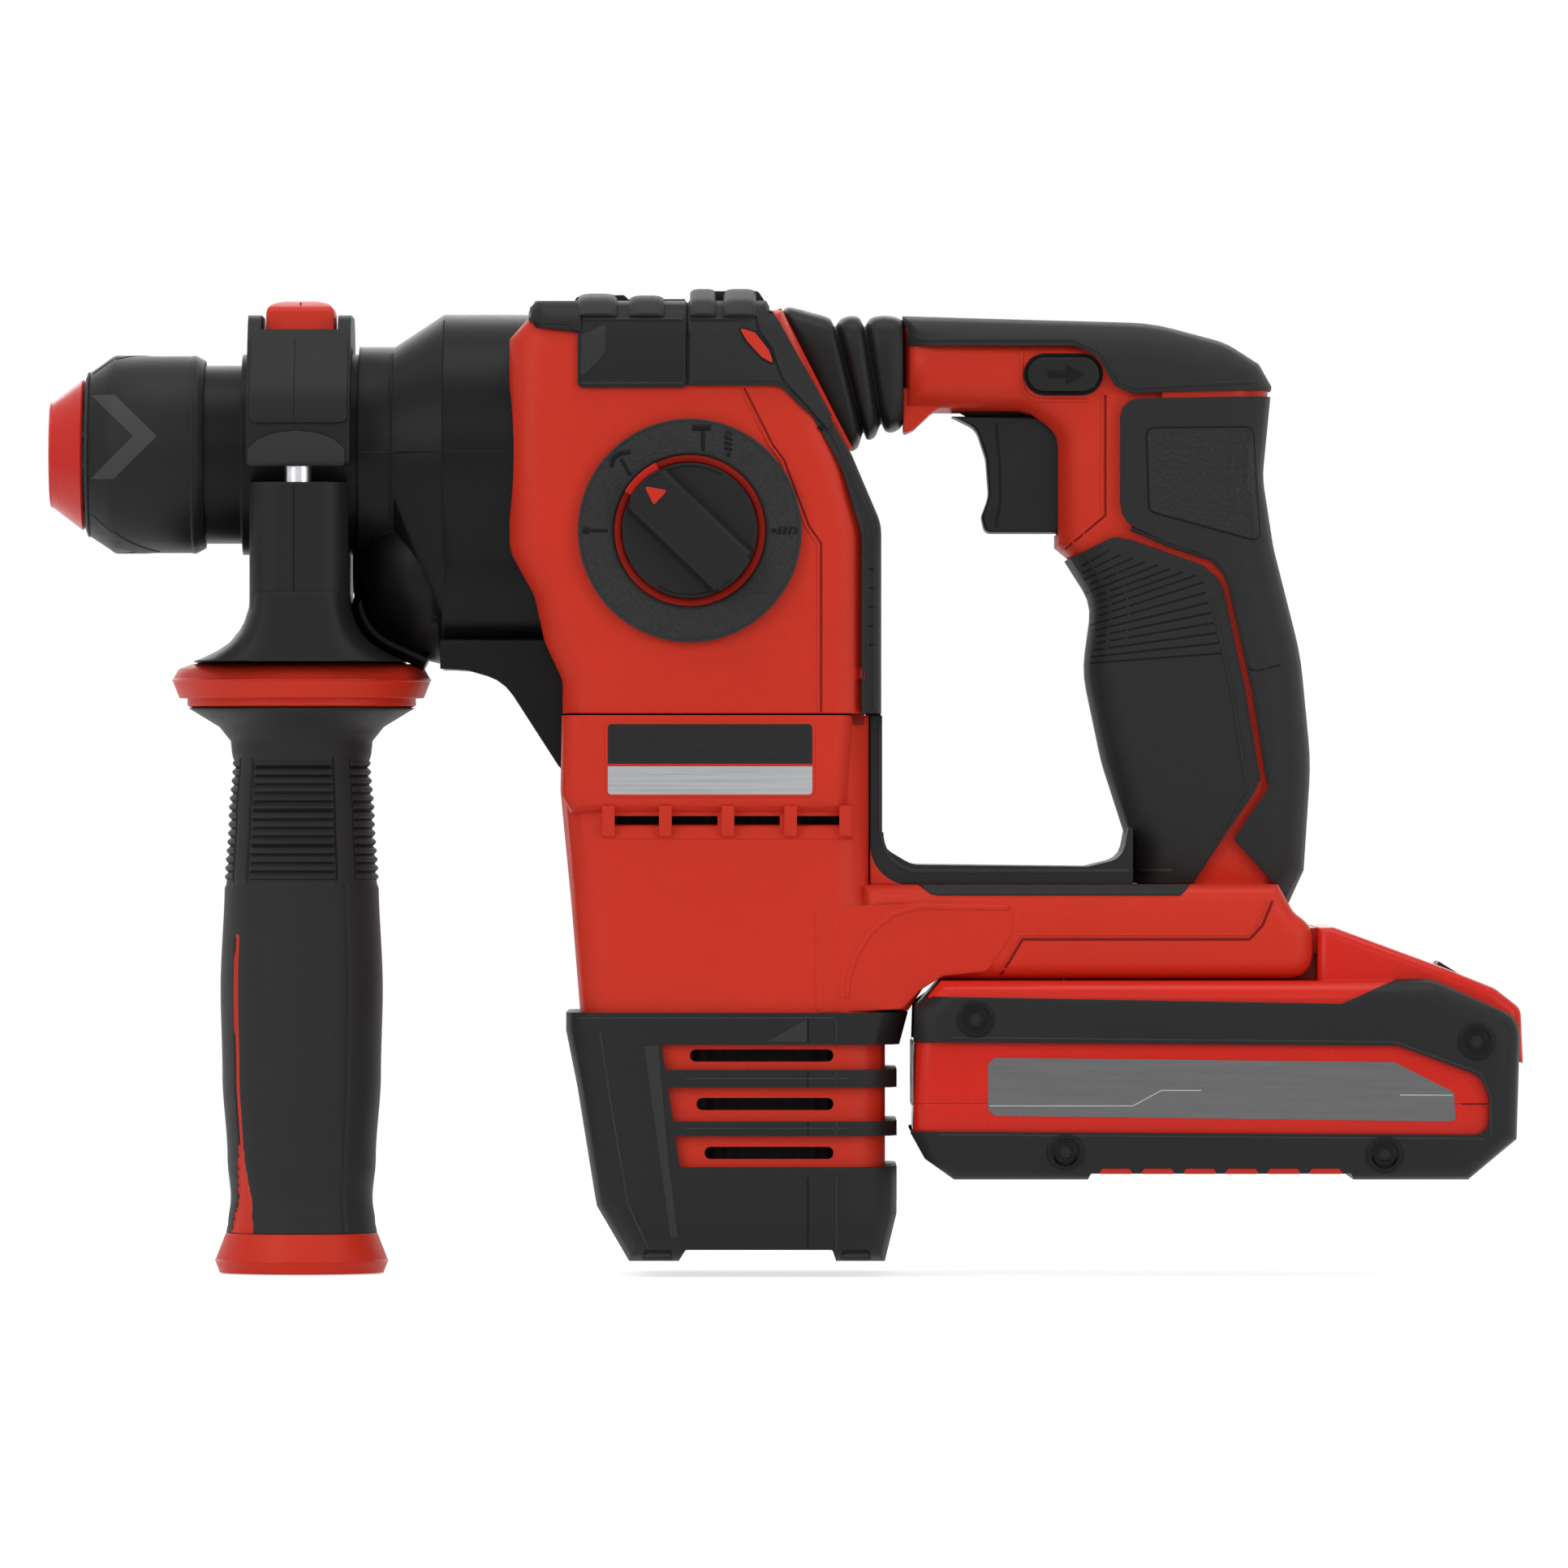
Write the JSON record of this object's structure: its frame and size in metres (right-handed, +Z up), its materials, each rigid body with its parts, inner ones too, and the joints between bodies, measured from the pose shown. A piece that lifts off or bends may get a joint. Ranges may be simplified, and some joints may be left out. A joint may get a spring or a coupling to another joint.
{
  "type": "cordless rotary hammer",
  "caption": "Pistol-handled cordless rotary hammer with a keyless bit holder, turning side handle, mode dial, trigger and slide-on battery.",
  "frame": {"origin": "on the spindle axis at the mouth of the tool holder", "axes": "+X back along the spindle, +Y to the side away from the mode dial, +Z up"},
  "size_m": [0.3145, 0.0812, 0.2097],
  "materials": {
    "red_plastic": "satin, fine grain",
    "black_plastic": "satin, fine grain",
    "soft_rubber": "matt, soft-touch",
    "case_metal": "black satin coating",
    "steel": "ground",
    "dark_steel": "blackened",
    "winding": "lacquered windings on laminations",
    "board": "solder mask",
    "cell": "shrink sleeve"
  },
  "bodies": {
    "housing": {"housing_left": "red_plastic", "housing_right": "red_plastic", "front_grip": "soft_rubber", "rear_grip": "soft_rubber", "top_grip": "soft_rubber", "motor_guard": "black_plastic", "housing_screws": "dark_steel", "switch_module": "black_plastic", "control_board": "board", "terminal_block": "black_plastic", "damper_rod": "steel"},
    "gear_unit": {"gear_case": "case_metal", "front_seal": "soft_rubber", "spindle_bearings": "steel", "bearing_bracket": "case_metal", "gear_cover": "case_metal", "shaft_bearings": "steel", "stator": "winding", "motor_can": "dark_steel", "upper_shell_left": "red_plastic", "upper_shell_right": "red_plastic", "top_cover": "black_plastic", "rear_pad": "soft_rubber", "mode_ring": "black_plastic", "upper_screws": "dark_steel", "bellows": "soft_rubber", "damper_spring": "steel"},
    "spindle": {"spindle": "steel", "dust_cap": "red_plastic", "locking_balls": "steel", "spindle_gear": "dark_steel"},
    "lock_sleeve": {"lock_sleeve": "black_plastic", "ball_ring": "dark_steel", "chuck_spring": "steel"},
    "countershaft": {"countershaft": "dark_steel", "wobble_hub": "steel", "face_gear": "dark_steel"},
    "rotor": {"rotor": "steel", "fan": "black_plastic"},
    "wobble_ring": {"wobble_ring": "steel"},
    "piston": {"piston": "steel"},
    "piston_pin": {"piston_pin": "dark_steel"},
    "striker": {"striker": "steel"},
    "impact_bolt": {"impact_bolt": "steel"},
    "side_handle": {"saddle": "black_plastic"},
    "clamp": {"clamp_half": "black_plastic", "clamp_yoke": "steel"},
    "grip": {"grip_core": "red_plastic", "grip_rubber": "soft_rubber"},
    "depth_button": {"depth_button": "red_plastic"},
    "mode_knob": {"mode_knob": "black_plastic"},
    "trigger": {"trigger": "black_plastic", "trigger_spring": "steel"},
    "direction_switch": {"direction_switch": "black_plastic"},
    "battery": {"battery_case_top": "red_plastic", "battery_case_bottom": "red_plastic", "battery_bumper": "black_plastic", "battery_cells": "cell"},
    "battery_button": {"battery_button": "red_plastic"}
  },
  "joints": [
    {"name": "damper_slide", "type": "slide", "parent": "housing", "child": "gear_unit", "axis": [1, 0, 0], "range_m": [0, 0.004], "stiffness_N_per_m": 8000, "springref_m": -0.003, "deforming": ["bellows", "damper_spring"]},
    {"name": "spindle_turn", "type": "hinge", "parent": "gear_unit", "child": "spindle", "pos_m": [0, 0, 0], "axis": [1, 0, 0], "continuous": true},
    {"name": "sleeve_slide", "type": "slide", "parent": "spindle", "child": "lock_sleeve", "axis": [1, 0, 0], "range_m": [0, 0.007], "stiffness_N_per_m": 1500, "springref_m": -0.004, "deforming": ["chuck_spring"]},
    {"name": "countershaft_turn", "type": "hinge", "parent": "gear_unit", "child": "countershaft", "pos_m": [0.1, 0, -0.024], "axis": [1, 0, 0], "continuous": true},
    {"name": "rotor_turn", "type": "hinge", "parent": "gear_unit", "child": "rotor", "pos_m": [0.14347, 0, -0.1], "axis": [0, 0, 1], "continuous": true},
    {"name": "wobble_swing", "type": "hinge", "parent": "gear_unit", "child": "wobble_ring", "pos_m": [0.124, 0, -0.024], "axis": [0, 1, 0], "range_deg": [-12, 12]},
    {"name": "piston_slide", "type": "slide", "parent": "gear_unit", "child": "piston", "axis": [1, 0, 0], "range_m": [-0.005, 0.005]},
    {"name": "piston_pin_turn", "type": "hinge", "parent": "piston", "child": "piston_pin", "pos_m": [0.124, 0, 0], "axis": [0, 1, 0], "range_deg": [-12.1, 12.1]},
    {"name": "striker_slide", "type": "slide", "parent": "gear_unit", "child": "striker", "axis": [1, 0, 0], "range_m": [-0.009, 0.0005]},
    {"name": "bolt_slide", "type": "slide", "parent": "spindle", "child": "impact_bolt", "axis": [1, 0, 0], "range_m": [0, 0.004]},
    {"name": "side_handle_turn", "type": "hinge", "parent": "gear_unit", "child": "side_handle", "pos_m": [0.0539, 0, 0], "axis": [1, 0, 0], "continuous": true},
    {"name": "clamp_slide", "type": "slide", "parent": "side_handle", "child": "clamp", "axis": [0, 0, 1], "range_m": [0, 0.0025]},
    {"name": "grip_turn", "type": "hinge", "parent": "side_handle", "child": "grip", "pos_m": [0.0539, 0, -0.1], "axis": [0, 0, -1], "range_deg": [0, 720]},
    {"name": "depth_button_press", "type": "slide", "parent": "clamp", "child": "depth_button", "axis": [0, 0, -1], "range_m": [0, 0.002], "stiffness_N_per_m": 1500, "springref_m": -0.002},
    {"name": "mode_knob_turn", "type": "hinge", "parent": "gear_unit", "child": "mode_knob", "pos_m": [0.1373, -0.036, -0.0168], "axis": [0, -1, 0], "range_deg": [-135, 45]},
    {"name": "trigger_pull", "type": "slide", "parent": "housing", "child": "trigger", "axis": [1, 0, 0], "range_m": [0, 0.006], "stiffness_N_per_m": 1500, "springref_m": -0.002, "deforming": ["trigger_spring"]},
    {"name": "direction_slide", "type": "slide", "parent": "housing", "child": "direction_switch", "axis": [0, 1, 0], "range_m": [-0.003, 0.003]},
    {"name": "battery_slide", "type": "slide", "parent": "housing", "child": "battery", "axis": [1, 0, 0], "range_m": [0, 0.092]},
    {"name": "battery_button_press", "type": "slide", "parent": "battery", "child": "battery_button", "axis": [-0.5299, 0, -0.848], "range_m": [0, 0.003], "stiffness_N_per_m": 900, "springref_m": -0.002}
  ],
  "couplings": [
    {"joint": "countershaft_turn", "follows": "spindle_turn", "ratio": -3},
    {"joint": "rotor_turn", "follows": "spindle_turn", "ratio": 10.286},
    {"joint": "wobble_swing", "follows": "piston_slide", "rad_per_m": 41.667},
    {"joint": "piston_pin_turn", "follows": "piston_slide", "rad_per_m": 41.667},
    {"joint": "grip_turn", "follows": "clamp_slide", "rad_per_m": 5026.5}
  ]
}
